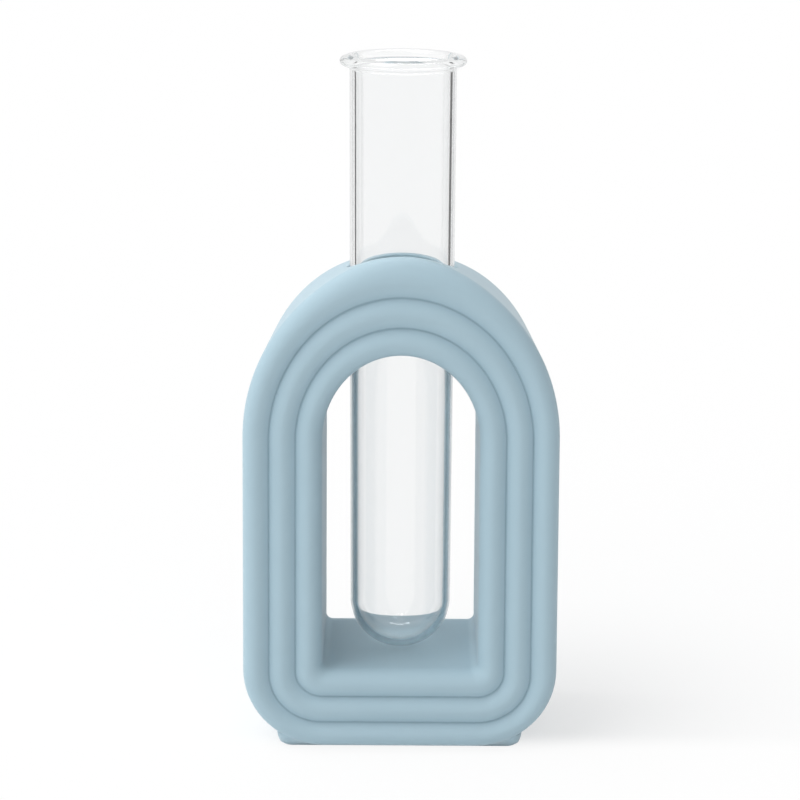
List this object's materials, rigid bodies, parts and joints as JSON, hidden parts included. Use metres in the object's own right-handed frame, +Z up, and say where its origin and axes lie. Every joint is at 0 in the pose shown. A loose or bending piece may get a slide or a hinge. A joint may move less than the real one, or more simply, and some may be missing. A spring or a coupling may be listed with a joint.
{
  "type": "test tube vase",
  "caption": "Bud vase: a flanged glass test tube dropped through the crown of a ribbed ceramic arch and standing on the floor of its window.",
  "frame": {"origin": "middle of the underside of the foot, on the table", "axes": "+Z up along the tube, +X across the arch, -Y towards the front"},
  "size_m": [0.0784, 0.039, 0.172],
  "materials": {
    "blue_ceramic": "matte",
    "clear_glass": "polished"
  },
  "bodies": {
    "holder": {"arch_holder": "blue_ceramic"},
    "tube": {"test_tube": "clear_glass"}
  },
  "joints": [
    {"name": "tube_lift", "type": "slide", "parent": "holder", "child": "tube", "axis": [0, 0, 1], "range_m": [0, 0.12]}
  ]
}
